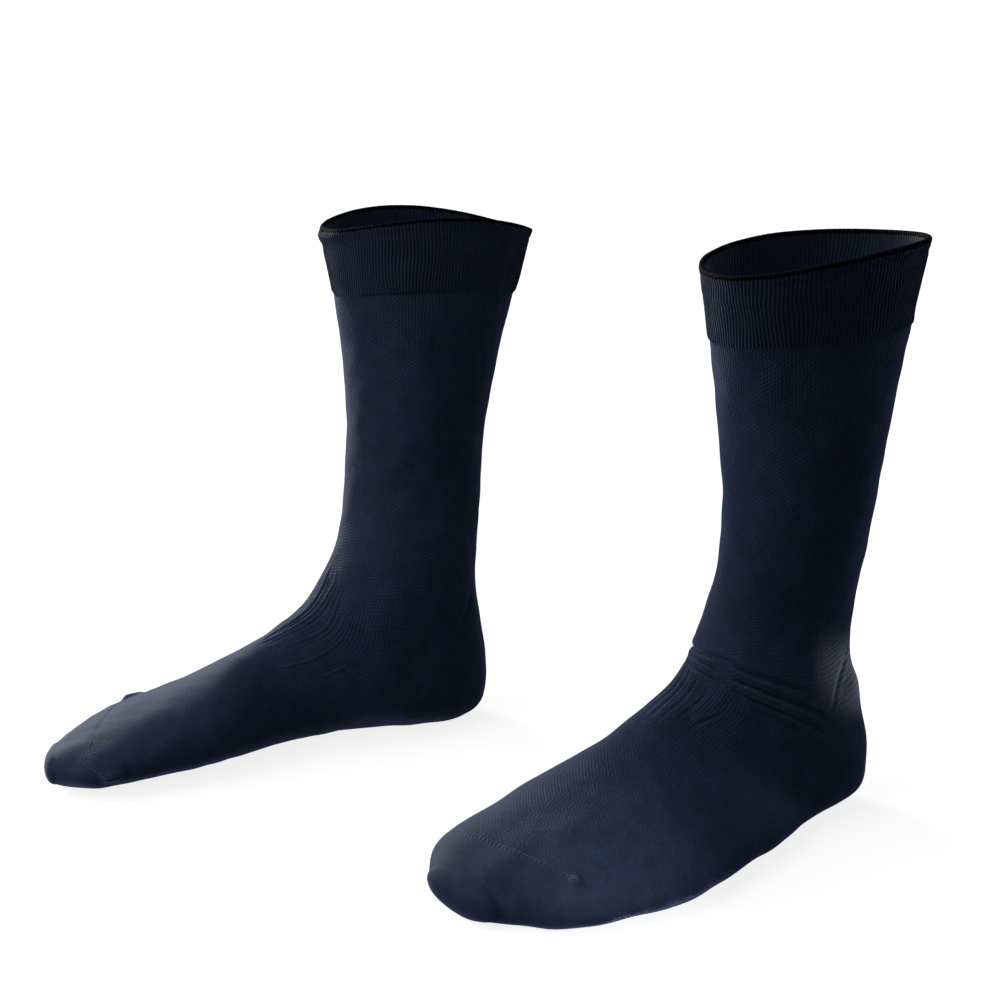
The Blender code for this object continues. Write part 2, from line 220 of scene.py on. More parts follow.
# The face's outward direction: the cross product of a small step round and a small step along.
def facing(sock, run, angle):
    step, turn = form["smallStep"], form["smallTurn"]
    along = skin(sock, run + step, angle) - skin(sock, run - step, angle)
    around = skin(sock, run, angle + turn) - skin(sock, run, angle - turn)
    return unit(np.cross(around, along))


# Outward, forward and up as row-frame x, y and z: turned by the foot's angle and moved to its place.
def inPlace(sock, points):
    x = sock["side"] * points[..., 0]
    y = -points[..., 1]
    turn = sock["side"] * np.radians(form["toeOut"])
    return np.stack(
        [
            x * np.cos(turn) - y * np.sin(turn) + sock["place"][0],
            x * np.sin(turn) + y * np.cos(turn) + sock["place"][1],
            points[..., 2] - form["gripHeight"],
        ],
        axis=-1,
    )


# The run of the toe seam's line: furthest forward on top and back at the sides, by a cosine, and aslant
# from the outer to the inner side, by a sine.
def toeSeamRun(sock, angle):
    turn = np.radians(angle)
    dip = sock["seamDip"] * (1 - np.maximum(np.cos(turn), 0))
    return sock["seamRun"] - sock["seamSlope"] * np.sin(turn) - dip


creaseForm = {
    "points": 160,  # along a crease's line
    "ridge": 0.35,  # height of the ridges beside a crease, as a share of its depth
    "ridgeAt": 2,  # half widths from a crease's middle
    "paintedShade": 1.2,  # half widths over which shade is painted into the yarn
    "reach": 4,  # half widths up to which a crease is felt
}
# Each crease is a line of (run mm, angle) points with its depth and half width in mm. A positive depth
# is a soft trough between two low ridges, and a negative one a pulled ridge between two low troughs.
creases = {
    "left": [
        ([(212, -72), (216, -34), (217, -10), (217, 10), (219, 29), (222, 48), (224, 78)], 1.8, 1.4),
        ([(221, -32), (222, -5), (224, 14), (227, 28), (229, 41), (231, 55), (235, 86)], 2.3, 1.4),
        ([(226, -24), (228, -6), (230, 8), (234, 27), (238, 44), (240, 62), (243, 88)], 2.1, 1.4),
        ([(236, 24), (243, 44), (248, 72)], 0.5, 1.6),
        ([(226, -20), (236, -12), (252, -8), (292, -2)], 0.7, 0.9),
        ([(229, -6), (240, -2), (262, 2), (292, 5)], 0.6, 0.8),
        ([(232, 6), (246, 9), (268, 12), (296, 13)], 0.5, 0.9),
        ([(238, 18), (257, 21), (284, 21)], 0.45, 0.9),
        ([(254, 36), (270, 33), (286, 31)], 0.45, 0.9),
        ([(228, -30), (246, -22), (284, -16)], -0.6, 0.9),
        ([(192, 140), (198, 131), (204, 124), (209, 116), (218, 104), (234, 90)], 0.5, 1.5),
        ([(214, -100), (217, -80), (219, -56)], 0.8, 2.0),
        ([(227, -98), (228, -70), (228, -44)], 1.1, 1.9),
        ([(238, -88), (237, -62), (235, -40)], 0.9, 1.9),
        ([(240, -34), (262, -30), (286, -29)], 0.5, 0.9),
        ([(246, -48), (264, -44), (280, -43)], 0.4, 0.9),
        ([(198, -142), (208, -134), (220, -122), (230, -108)], 0.9, 2.0),
    ],
    "right": [
        ([(204, -4), (221, -7), (245, -8), (272, -6), (306, 1)], 0.9, 0.75),
        ([(206, -14), (216, -17), (238, -16), (270, -13), (299, -5), (314, 2)], -0.6, 0.7),
        ([(212, -22), (228, -23), (250, -22), (276, -18), (304, -12)], 0.5, 0.7),
        ([(216, -28), (232, -30), (250, -31), (271, -29), (296, -23)], -0.55, 0.7),
        ([(236, -36), (256, -36), (278, -33)], 0.4, 0.8),
        ([(256, -43), (268, -43), (282, -43), (300, -42), (318, -37)], -0.6, 0.6),
        ([(266, -56), (278, -56), (290, -57), (302, -57)], -0.6, 0.6),
        ([(266, -66), (277, -67), (290, -70)], -0.3, 0.7),
        ([(212, 10), (240, 9), (266, 9), (298, 11)], 0.7, 0.8),
        ([(220, 22), (246, 23), (270, 22), (300, 20)], -0.5, 0.8),
        ([(236, 37), (262, 36), (288, 33)], 0.45, 0.8),
        ([(252, 52), (270, 52), (288, 50)], -0.4, 0.8),
        ([(216, 30), (221, 52), (228, 78), (236, 98)], 0.7, 2.0),
        ([(226, 40), (234, 62), (243, 84)], 0.6, 1.9),
        ([(200, 140), (210, 132), (222, 120), (232, 104)], 0.8, 2.2),
        ([(202, -138), (212, -130), (222, -118)], 0.5, 2.2),
    ],
}

# Wide soft hollows (negative) and swells: run mm, angle, height mm, radius mm.
swells = {
    "left": [
        (216, 132, 2.2, 11),
        (232, 70, 0.7, 13),
        (252, 122, -0.6, 14),
        (236, -66, 0.8, 13),
        (420, 66, -1.3, 4),
        (340, 50, 0.5, 22),
        (452, 30, 0.7, 9),
        (452, -20, 0.8, 9),
        (40, 20, 0.5, 22),
    ],
    "right": [
        (230, -74, 0.7, 13),
        (252, -118, -0.6, 14),
        (236, 70, 0.8, 13),
        (340, -40, 0.4, 22),
        (452, 30, 0.7, 9),
        (452, -20, 0.8, 9),
    ],
}
# Faint waves over all of the cloth, so that no stretch of it is quite smooth.
unevenness = {"waves": 34, "height": 0.25 * mm, "shortest": 9 * mm, "longest": 60 * mm, "seed": 11}


# A soft line pushed into the cloth. Across it, x half widths from its middle, the lift is -exp(-x^2)
# with a low ridge on both sides, and along it the square root of half a sine wave, so that both ends
# fade out. The crease's painted shade, which darkens the yarn as if the crease were shaded, is a wider
# bell.
def creaseLift(sock, base, line, depth, halfWidth):
    knots = np.array(line, dtype=float)
    share = np.linspace(0, 1, creaseForm["points"])
    path = naturalSpline(np.linspace(0, 1, len(knots)), knots, share)
    place = skin(sock, path[:, 0] * mm, path[:, 1])
    reach = creaseForm["reach"] * halfWidth * mm
    low, high = place.min(axis=0) - reach, place.max(axis=0) + reach
    near = np.nonzero(((base > low) & (base < high)).all(axis=-1))
    gap = np.linalg.norm(base[near][:, None] - place[None], axis=-1)
    at = gap.argmin(axis=1)
    across = gap[np.arange(len(at)), at] / (halfWidth * mm)
    fade = depth * mm * np.sqrt(np.sin(np.pi * np.clip(share[at], 0, 1)))
    lift = np.zeros(base.shape[:-1])
    paintedCreaseShade = np.zeros(base.shape[:-1])
    ridges = creaseForm["ridge"] * np.exp(-((across - creaseForm["ridgeAt"]) ** 2))
    lift[near] = fade * (ridges - np.exp(-across**2))
    paintedCreaseShade[near] = -fade * np.exp(-((across / creaseForm["paintedShade"]) ** 2))
    return lift, paintedCreaseShade


# The sum of the creases, bell-shaped swells and faint plane waves in seeded random directions, and the
# painted shade of the deepest crease.
def relief(sockName, run, angle):
    sock = socks[sockName]
    base = skin(sock, run, angle)
    lift = np.zeros(base.shape[:-1])
    paintedShade = np.zeros(base.shape[:-1])
    for line, depth, halfWidth in creases[sockName]:
        creased, paintedCreaseShade = creaseLift(sock, base, line, depth, halfWidth)
        lift += creased
        paintedShade = np.minimum(paintedShade, paintedCreaseShade)
    for swellRun, swellAngle, height, radius in swells[sockName]:
        middle = skin(sock, np.array(swellRun * mm), np.array(float(swellAngle)))
        away = np.linalg.norm(base - middle, axis=-1) / (radius * mm)
        lift += height * mm * np.exp(-away**2)
    draw = np.random.default_rng(unevenness["seed"] + sock["side"])
    for _ in range(unevenness["waves"]):
        direction = unit(draw.normal(size=3))
        length = draw.uniform(unevenness["shortest"], unevenness["longest"])
        phase = draw.uniform(0, 2 * np.pi)
        wave = np.sin(base @ direction * 2 * np.pi / length + phase)
        lift += unevenness["height"] / np.sqrt(unevenness["waves"] / 2) * wave
    return lift, paintedShade


# The skin moved along its facing by the relief and an extra lift.
def raised(sockName, run, angle, lift):
    sock = socks[sockName]
    total = lift + relief(sockName, run, angle)[0]
    return skin(sock, run, angle) + facing(sock, run, angle) * total[..., None]


# A grid of points, closed round its columns and, if looped, from the last row back to the first. Gaps
# holds rows after which there is no band. The wale and the course of each point become the UV map "knit",
# and around is the number of wales once round. Attributes hold one value or four at each point. The mesh
# is turned inside out if its volume is negative.
def gridMesh(name, points, wales, around, courses, looped=True, gaps=(), attributes=()):
    rows, columns = points.shape[:2]
    index = np.arange(rows * columns).reshape(rows, columns)
    bands = [i for i in range(rows if looped else rows - 1) if i not in gaps]
    after = [(i + 1) % rows for i in bands]
    top, bottom = index[bands], index[after]
    faces = np.stack([top, np.roll(top, -1, 1), np.roll(bottom, -1, 1), bottom], axis=-1).reshape(-1, 4)

    place = points.reshape(-1, 3)
    a, b, c, d = (place[faces[:, k]] for k in range(4))
    volume = (np.cross(a, b) * c).sum() + (np.cross(a, c) * d).sum()

    # The last column's faces end a whole turn of wales further on, counted up or down
    u = np.broadcast_to(wales, (rows, columns))
    v = np.broadcast_to(courses, (rows, columns))
    uTop, uBottom = u[bands], u[after]
    vTop, vBottom = v[bands], v[after]
    wrap = np.zeros(columns)
    wrap[-1] = around * np.sign(u[0, 1] - u[0, 0])
    uGrid = np.stack([uTop, np.roll(uTop, -1, 1) + wrap, np.roll(uBottom, -1, 1) + wrap, uBottom], axis=-1)
    vGrid = np.stack([vTop, np.roll(vTop, -1, 1), np.roll(vBottom, -1, 1), vBottom], axis=-1)
    uv = np.stack([uGrid, vGrid], axis=-1).reshape(-1, 4, 2)
    if volume < 0:
        faces, uv = faces[:, ::-1], uv[:, ::-1]

    mesh = bpy.data.meshes.new(name)
    mesh.vertices.add(len(place))
    mesh.vertices.foreach_set("co", place.ravel())
    mesh.loops.add(faces.size)
    mesh.loops.foreach_set("vertex_index", faces.ravel().astype(np.int32))
    mesh.polygons.add(len(faces))
    mesh.polygons.foreach_set("loop_start", np.arange(0, faces.size, 4, dtype=np.int32))
    mesh.update(calc_edges=True)
    layer = mesh.uv_layers.new(name="knit")
    layer.data.foreach_set("uv", uv.reshape(-1, 2).ravel().astype(np.float32))
    for title, values in dict(attributes).items():
        kind, field = ("FLOAT_COLOR", "color") if values.ndim == 3 else ("FLOAT", "value")
        kept = mesh.attributes.new(title, kind, "POINT")
        kept.data.foreach_set(field, values.ravel().astype(np.float32))
    mesh.validate()
    return mesh


# Merges the points of a pole, which lie within 0.002 mm, smooths the faces and puts the mesh into the
# scene, on the part's body and in place of the nodes. The record's slot is not used.
def addPiece(name, mesh, material, slot, *nodes):
    welded = bmesh.new()
    welded.from_mesh(mesh)
    bmesh.ops.remove_doubles(welded, verts=welded.verts, dist=0.002 * mm)
    welded.to_mesh(mesh)
    welded.free()
    mesh.shade_smooth()
    mesh.materials.append(material)
    piece = bpy.data.objects.new(name, mesh)
    bpy.context.scene.collection.objects.link(piece)
    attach(piece, "root")
    if nodes:
        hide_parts(*nodes)
    return piece


# A colour given as sRGB hex, as the linear values that a shader takes.
def linearColour(hexText):
    channels = np.array([int(hexText[i:i + 2], 16) / 255 for i in (1, 3, 5)])
    linear = np.where(channels <= 0.04045, channels / 12.92, ((channels + 0.055) / 1.055) ** 2.4)
    return (*linear, 1.0)


# Adds a node with its settings, its input values or links, and gives back one output.
def addNode(tree, kind, inputs=(), output=0, **settings):
    node = tree.nodes.new(kind)
    for key, value in settings.items():
        setattr(node, key, value)
    for key, value in dict(inputs).items():
        if isinstance(value, bpy.types.NodeSocket):
            tree.links.new(value, node.inputs[key])
        else:
            node.inputs[key].default_value = value
    return node.outputs[output]


# The output of one step of arithmetic on numbers and outputs.
def calc(tree, operation, *inputs):
    return addNode(tree, "ShaderNodeMath", dict(enumerate(inputs)), operation=operation)


# Fine cotton and nylon yarn, knitted in plain stitch and dyed navy. It gives the eye a matt dark blue,
# uneven like melange, with fine lines of stitches that come and go, and a soft pale blue bloom of fibres
# on the side that meets the light. Shade is painted into the colour: the relief's grooves darker and its
# tops lighter, and darker still where a crease, a sunk seam side or an ear's tuck lies. The relief is a
# sum of four cosines of the wale number u and the course number v, each counted by its own shares and
# weighted by the points' stitches.
def knitMaterial(name, look):
    material = bpy.data.materials.new(name)
    material.use_nodes = True
    tree = material.node_tree
    shader = tree.nodes["Principled BSDF"]
    uv = addNode(tree, "ShaderNodeUVMap", uv_map="knit")
    u = addNode(tree, "ShaderNodeSeparateXYZ", {0: uv}, output=0)
    v = addNode(tree, "ShaderNodeSeparateXYZ", {0: uv}, output=1)
    # Stitches holds how strongly rising, falling and level lines show, and in its alpha the pull
    shares = addNode(tree, "ShaderNodeAttribute", attribute_name="stitches")
    pull = addNode(tree, "ShaderNodeAttribute", output=3, attribute_name="stitches")
    # Painted shade, in mm of crease depth: creases, the seam's sunk sides and the tucks behind ears
    paintedShade = addNode(tree, "ShaderNodeAttribute", output=2, attribute_name="paintedShade")
    place = addNode(tree, "ShaderNodeTexCoord", output=3)
    noise = {}
    for size in ("wander", "fibre", "blotch", "patch"):
        inputs = {"Vector": place, "Scale": look[size + "Scale"], "Detail": 2.0}
        noise[size] = addNode(tree, "ShaderNodeTexNoise", inputs)

    # A slow wander moves the stitches, so that no line is ruler-straight
    shift = calc(tree, "SUBTRACT", noise["wander"], 0.5)
    u = calc(tree, "MULTIPLY_ADD", shift, look["wander"], u)
    v = calc(tree, "MULTIPLY_ADD", shift, look["wander"], v)
    waves = []
    for perWale, perCourse in look["lines"].values():
        phase = calc(tree, "MULTIPLY_ADD", u, perWale, calc(tree, "MULTIPLY", v, perCourse))
        waves.append(calc(tree, "COSINE", calc(tree, "MULTIPLY", phase, 2 * np.pi)))
    slanting = addNode(tree, "ShaderNodeCombineXYZ", dict(enumerate(waves[:3])))
    inputs = {0: shares, 1: slanting}
    rows = addNode(tree, "ShaderNodeVectorMath", inputs, output=1, operation="DOT_PRODUCT")
    presence = addNode(tree, "ShaderNodeMapRange", {"Value": noise["blotch"]} | look["presence"])
    rows = calc(tree, "MULTIPLY", rows, presence)
    columns = calc(tree, "MULTIPLY_ADD", pull, look["pullShare"], look["waleShare"])
    columns = calc(tree, "MULTIPLY", waves[3], columns)
    height = calc(tree, "MULTIPLY_ADD", rows, look["rowShare"], columns)
    height = calc(tree, "MULTIPLY_ADD", height, 0.5, 0.5)

    # The colour's shade is 0.5 plus each layer's distance from 0.5 times its weight, and the painted
    # crease shade in mm. The relief's layer paints shade into its grooves and light onto its tops
    layers = (
        (height, look["paintedReliefShade"]),
        (noise["fibre"], look["fibreShade"]),
        (noise["blotch"], look["blotchShade"]),
        (noise["patch"], look["patchShade"]),
    )
    offset = 0.5 - sum(weight for _, weight in layers) / 2
    shade = calc(tree, "MULTIPLY_ADD", paintedShade, look["paintedShadeWeight"], offset)
    for layer, weight in layers:
        shade = calc(tree, "MULTIPLY_ADD", layer, weight, shade)
    colours = {0: shade, 6: linearColour(look["deep"]), 7: linearColour(look["light"])}
    colour = addNode(tree, "ShaderNodeMix", colours, output=2, data_type="RGBA")
    fuzz = calc(tree, "MULTIPLY_ADD", noise["fibre"], look["fuzz"], height)
    inputs = {"Height": fuzz, "Distance": look["bump"] * mm, "Strength": 1.0}
    bump = addNode(tree, "ShaderNodeBump", inputs)
    tree.links.new(colour, shader.inputs["Base Color"])
    tree.links.new(bump, shader.inputs["Normal"])
    shader.inputs["Roughness"].default_value = look["roughness"]
    shader.inputs["Specular IOR Level"].default_value = look["specular"]
    shader.inputs["Sheen Weight"].default_value = look["sheen"]
    shader.inputs["Sheen Roughness"].default_value = look["sheenRoughness"]
    shader.inputs["Sheen Tint"].default_value = linearColour(look["sheenTint"])
    return material


plainLook = {
    "deep": "#0c1220",
    "light": "#1d2d4b",
    "wander": 0.9,  # stitches by which a line strays
    "wanderScale": 110.0,  # cells in a metre, as in the next three
    "fibreScale": 760.0,
    "blotchScale": 130.0,
    "patchScale": 24.0,
    "lines": {  # turns for each wale and each course; 168 wales give whole turns, so the lines meet
        "rising": (0.5, 0.82),
        "falling": (-0.75, 0.85),
        "level": (0.25, 1.0),
        "wales": (1.0, 0.0),
    },
    # Rows of stitches show by 0.3 to all of their strength, as the blotches go
    "presence": {"From Min": 0.35, "From Max": 0.65, "To Min": 0.3, "To Max": 1.0},
    "rowShare": 0.6,  # of the relief, where rows of stitches show
    "waleShare": 0.2,  # below 0 a wale is a ridge between two grooves
    "pullShare": 0.6,
    "paintedReliefShade": 0.3,  # painted light on the relief's tops and painted shade in its grooves
    "fibreShade": 1.1,  # and how much fibres, blotches and wide patches change the shade
    "blotchShade": 0.9,
    "patchShade": 0.6,
    "paintedShadeWeight": 0.22,  # painted shade: darker for each mm of crease, sunk seam side or ear tuck
    "fuzz": 0.9,  # loose fibres, as a share of the relief
    "bump": 0.3,  # mm
    "roughness": 0.75,
    "specular": 0.25,
    "sheen": 0.56,
    "sheenRoughness": 0.4,
    "sheenTint": "#aecbff",
}
plainKnit = knitMaterial("navyPlainKnit", plainLook)
# Doubled rib: darker, with less bloom, and cords painted lighter between grooves painted darker, as shade
ribKnit = knitMaterial("navyRibKnit", plainLook | {
    "light": "#17243c",
    "waleShare": -0.9,
    "pullShare": 0.0,
    "paintedReliefShade": 0.7,
    "fibreShade": 1.5,
    "specular": 0.2,
    "sheen": 0.42,
})
# Overcast edge, partly black yarn and partly painted shadow, and dull, so that the rim is drawn as one
# dark line
edgeYarnAndShadow = knitMaterial("blackEdgeYarnAndPaintedShadow", plainLook | {
    "deep": "#010204",
    "light": "#05070b",
    "waleShare": -0.6,
    "pullShare": 0.0,
    "specular": 0.05,
    "sheen": 0.0,
})
# Toe pocket: the same yarn in a closer knit, smoother and without lines
pocketKnit = knitMaterial("navyPocketKnit", plainLook | {
    "waleShare": 0.0,
    "pullShare": 0.0,
    "fibreShade": 0.9,
    "bump": 0.25,
})
# Linking thread: slightly lighter stitches, with painted shade in the gaps and the groove between them
seamThread = knitMaterial("navyLinkingThread", plainLook | {
    "light": "#20314f",
    "rowShare": 1.2,
    "waleShare": -0.7,
    "pullShare": 0.0,
    "paintedReliefShade": 1.0,
    "bump": 0.15,
})
print("materials made")

cuff = {
    "proud": 1.0 * mm,  # stands out from the leg by this at the rim
    "thinning": 0.35 * mm,  # and by this much less at its lower edge
    "edgeStep": 3 * mm,  # the lower edge slopes down to the leg over this
    "edgeTuck": 0.5 * mm,  # and ends below the leg's face by this
    "edgePast": 0.2 * mm,  # and past the ring of its base by this
    "edgeWave": 0.6 * mm,
    "edgeLobes": [(0.6, 5, 2), (0.4, 11, 0)],  # share, number once round and start of each sine
    "pointsPerRib": 8,
    "ribHeight": 0.24 * mm,
    "ribSquare": 2.4,  # higher is flatter on top, with narrower grooves
    "rows": 24,
    "rimRows": 9,
    "edgeRows": 7,
    "insideRows": 8,
    "insideShort": 0.6 * mm,  # the inside stops short of the lower edge by this
    "sway": 0.35,  # how far a rib wanders to either side, in ribs
    "swayLength": 6.5 * mm,  # for each radian of its wave
    "swayFrom": 12 * mm,  # in full from here, and none at the rim
    "swayShift": 1.1,  # radians by which ribs differ, in so many lobes round
    "swayLobes": 7,
    "creases": {  # bells below the rim, as height, place and half width in mm
        "both": [(-0.35, 5.2, 1.1), (0.2, 3.2, 1.4)],  # a crease all round
        "right": [(3.0, 4.5, 3.5), (-1.6, 0.0, 2.5), (-0.5, 10.0, 2.0)],  # a lip that rolls out in front
        "left": [(0.3, 13.5, 1.2), (-0.4, 15.5, 1.1)],  # a fold in front
    },
    "fronts": {"right": (-2, 17), "left": (-4, 34)},  # where those lie: angle and half width in degrees
    "flat": (0.25, 0.042),  # the doubled welt before it is put on
}


# The angle of each point round a cuff, and its place counted in ribs.
def ribsRound(sockName, pointsPerRib):
    ribs = socks[sockName]["ribs"]
    rib = np.arange(ribs * pointsPerRib) / pointsPerRib - ribs / 2
    return rib * 360 / ribs, rib


# A rounded cord for each rib, 1 - |x|^square, where x runs from -1 to 1 across the rib.
def ribCord(rib):
    return 1 - np.abs(2 * (rib % 1) - 1) ** cuff["ribSquare"]


# The sum of the bells, height exp(-((x - place) / halfWidth)^2), at a distance x below the rim.
def bells(rows, down):
    return sum(height * np.exp(-(((down - place) / halfWidth) ** 2)) for height, place, halfWidth in rows)


# The bells of both rims, and those of one sock times a bell round its front.
def rimCrease(sockName, run, angle):
    front, spread = cuff["fronts"][sockName]
    own = bells(cuff["creases"][sockName], run / mm) * np.exp(-(((angle - front) / spread) ** 2))
    return (bells(cuff["creases"]["both"], run / mm) + own) * mm


# A doubled welt as one closed loop of rows: up the plain inside, round over the rim in a half circle,
# and down the ribbed outside. The lower edge falls to the leg by half a cosine. Each rib sways by a sine
# of the distance from the rim. The lower edge waves by two sines round the cuff, and the rows above it
# less and less, by the sixth power of that distance.
def buildCuff(sockName):
    angle, rib = ribsRound(sockName, cuff["pointsPerRib"])
    base = runOf["cuffBase"] + cuff["edgePast"]
    inside, outside = -form["wall"], cuff["proud"]
    halfThick = (outside - inside) / 2
    middle = (outside + inside) / 2

    insideRun = np.linspace(base - cuff["insideShort"], halfThick, cuff["insideRows"])
    over = np.linspace(0, np.pi, cuff["rimRows"] + 2)[1:-1]
    outsideRun = np.linspace(halfThick, base - cuff["edgeStep"], cuff["rows"])
    step = np.linspace(0, 1, cuff["edgeRows"] + 1)[1:]
    overRun = halfThick * (1 - np.sin(over))
    edgeRun = outsideRun[-1] + cuff["edgeStep"] * step
    run = np.concatenate([insideRun, overRun, outsideRun, edgeRun])[:, None]

    fall = (1 + np.cos(np.pi * step)) / 2
    insideLift = np.full(len(insideRun), inside)
    overLift = middle - halfThick * np.cos(over)
    outsideLift = outside - cuff["thinning"] * (outsideRun / base) ** 2
    edgeLift = outsideLift[-1] * fall - cuff["edgeTuck"] * (1 - fall)
    lift = np.concatenate([insideLift, overLift, outsideLift, edgeLift])[:, None]
    ribbed = np.concatenate([insideRun * 0, (1 - np.cos(over)) / 2, outsideRun * 0 + 1, fall])[:, None]

    around = np.radians(angle)
    phase = run / cuff["swayLength"] + cuff["swayShift"] * np.sin(cuff["swayLobes"] * around + 1)
    sway = cuff["sway"] * np.sin(phase) * np.clip(run / cuff["swayFrom"], 0, 1)
    lift = lift + cuff["ribHeight"] * ribbed * (ribCord(rib + sway) - 0.5)
    lift = lift + rimCrease(sockName, run, angle) * (ribbed > 0)
    wave = sum(share * np.sin(lobes * around + start) for share, lobes, start in cuff["edgeLobes"])
    run = run + cuff["edgeWave"] * wave * (run / base) ** 6
    angle = np.broadcast_to(angle, run.shape)
    points = inPlace(socks[sockName], raised(sockName, run, angle, lift))
    ribs = socks[sockName]["ribs"]
    mesh = gridMesh(sockName + "Cuff", points, rib + sway, ribs, run / form["course"])
    return addPiece(sockName + "Cuff", mesh, ribKnit, "rib_knit", sockName + "_cuff")


rimEdge = {
    "proud": 0.3 * mm,  # stands out from the cuff on all sides
    "smooth": 0.4,  # the share of that which isn't beaded
    "above": 0.2 * mm,  # the rim
    "tall": 2.2 * mm,
    "ragged": 0.5 * mm,  # so much longer or shorter from rib to rib
    "pointsPerRib": 6,
    "around": 14,
    "courses": 3,
    "seed": 5,
}


# The black edge that caps the rim, partly overcast yarn and partly painted shadow: a ring with an upright
# oval section, cosine t by sine t, beaded by the ribs, and with a lower edge made ragged by random
# lengths.
def buildRimEdge(sockName):
    angle, rib = ribsRound(sockName, rimEdge["pointsPerRib"])
    turn = (np.arange(rimEdge["around"]) * 2 * np.pi / rimEdge["around"])[:, None]
    draw = np.random.default_rng(rimEdge["seed"])
    cord = ribCord(rib)
    ragged = draw.uniform(-1, 1, size=rib.shape)
    ragged = (ragged + np.roll(ragged, 1) + np.roll(ragged, 2)) / 2
    tall = rimEdge["tall"] + rimEdge["ragged"] * (ragged + cord)
    run = tall * (1 + np.cos(turn)) / 2 - rimEdge["above"]
    beads = rimEdge["smooth"] + (1 - rimEdge["smooth"]) * cord
    thick = (cuff["proud"] + form["wall"]) / 2 + rimEdge["proud"] * beads
    lift = (cuff["proud"] - form["wall"]) / 2 + thick * np.sin(turn)
    lift = lift + rimCrease(sockName, run, angle) * (1 + np.sin(turn)) / 2
    angle = np.broadcast_to(angle, run.shape)
    points = inPlace(socks[sockName], raised(sockName, run, angle, lift))
    ribs = socks[sockName]["ribs"]
    courses = turn / (2 * np.pi) * rimEdge["courses"]
    mesh = gridMesh(sockName + "RimEdge", points, rib, ribs, courses)
    return addPiece(sockName + "RimEdge", mesh, edgeYarnAndShadow, "rib_knit")


# The leg, heel and foot are one tube. Steps holds stretches of its length: up to this run, in mm, a row
# of points each so many mm.
tube = {
    "columns": 320,
    "crowding": 0.45,  # 0 spreads the columns evenly, and more brings them to the front
    "steps": ((192, 3.0), (206, 1.5), (262, 0.8), (296, 1.5), (338, 2.4)),
    "foreRows": 34,  # from the arch to the toe seam
    "foreEase": 1.4,  # above 1 these rows are closer near the seam
    "insideStep": 9 * mm,
    "insideForeRows": 8,
    "tuck": 3 * mm,  # the tube starts inside the cuff's thickness
    "seamGap": 0.02 * mm,  # from the tube's and the toe pocket's ends to the seam's line
    "endRow": 0.03 * mm,  # so close, the shading turns only at the very end
    "seamSink": 0.5 * mm,  # the cloth sinks beside the toe seam, and is painted darker there as shade
    "seamSinkWidth": 1.5 * mm,
    "cuffSink": 0.2 * mm,  # and just below the cuff, also painted darker as shade
    "cuffSinkAt": 1.2 * mm,
    "cuffSinkWidth": 1.3 * mm,
    "legEnds": (150, 190),  # the leg's rising lines fade out between these runs, in mm
    "foreEnds": (270, 310),  # the foot's falling lines fade in
    "toeEnds": (370, 430),  # and fade again
    "toeFade": 0.6,  # by this share
    "cuffPull": 0.6,  # the cuff's ribs carry on into the leg by this much
    "cuffPullEnd": 34 * mm,
    "flat": (0.19, 0.40),
}


# 0 up to the low value and 1 from the high one, with a smooth 3x^2 - 2x^3 between them.
def smoothStep(value, low, high):
    x = np.clip((value - low) / (high - low), 0, 1)
    return x * x * (3 - 2 * x)


# The course at each run: the length of the sock's front line up to it, counted in courses.
def courseAt(sock, run):
    steps = np.linspace(0, runOf["toeEnd"] + form["tipDepth"], 400)
    front = skin(sock, steps, np.array(0.0))
    length = np.concatenate([[0], np.cumsum(np.linalg.norm(np.diff(front, axis=0), axis=1))])
    return np.interp(run, steps, length) / form["course"]


ear = {
    "height": 2.9 * mm,
    "radius": 2.8 * mm,
    "pull": 0.3 * mm,  # towards the heel
    "tuck": 1.3 * mm,  # the cloth behind an ear goes in by this
    "tuckAt": 1.3,  # tails behind the ear's tip
    "tuckLength": 0.6,  # radii
    "tuckPaintedShade": 2,  # painted shade behind an ear, as dark as a crease so many mm deep
}


# The ear at each end of the toe seam: a small bell raised from the cloth and pulled towards the heel,
# exp(-d^2), where d counts distances towards the heel as shorter by the ear's tail. Behind it the cloth
# sinks in by a smaller bell. Gives the shift and the tuck's share, by which shade is painted behind the
# ear.
def earShift(sock, base, out, back):
    shift = np.zeros(base.shape)
    paintedTuckShare = np.zeros(base.shape[:-1])
    for earAngle in sock["ears"]:
        tipAngle = np.array(float(earAngle))
        tipRun = toeSeamRun(sock, tipAngle)
        tip = skin(sock, tipRun, tipAngle)
        offset = (base - tip) / ear["radius"]
        along = offset @ unit(skin(sock, tipRun - form["smallStep"], tipAngle) - tip)
        aside = (offset**2).sum(axis=-1) - along**2
        share = np.exp(-aside - ((along - ear["tuckAt"] * sock["earTail"]) / ear["tuckLength"]) ** 2)
        along = np.where(along > 0, along / sock["earTail"], along)
        bell = np.exp(-aside - along**2)
        shift += out * (ear["height"] * bell - ear["tuck"] * share)[..., None]
        shift += back * (ear["pull"] * bell**2)[..., None]
        paintedTuckShare += share
    return shift, paintedTuckShare


# Angles round the tube, with the cut at the back: t - crowding sin t, for even steps of t.
def crowdedAngles(columns):
    t = np.arange(columns) * 2 * np.pi / columns - np.pi
    return np.degrees(t - tube["crowding"] * np.sin(t))


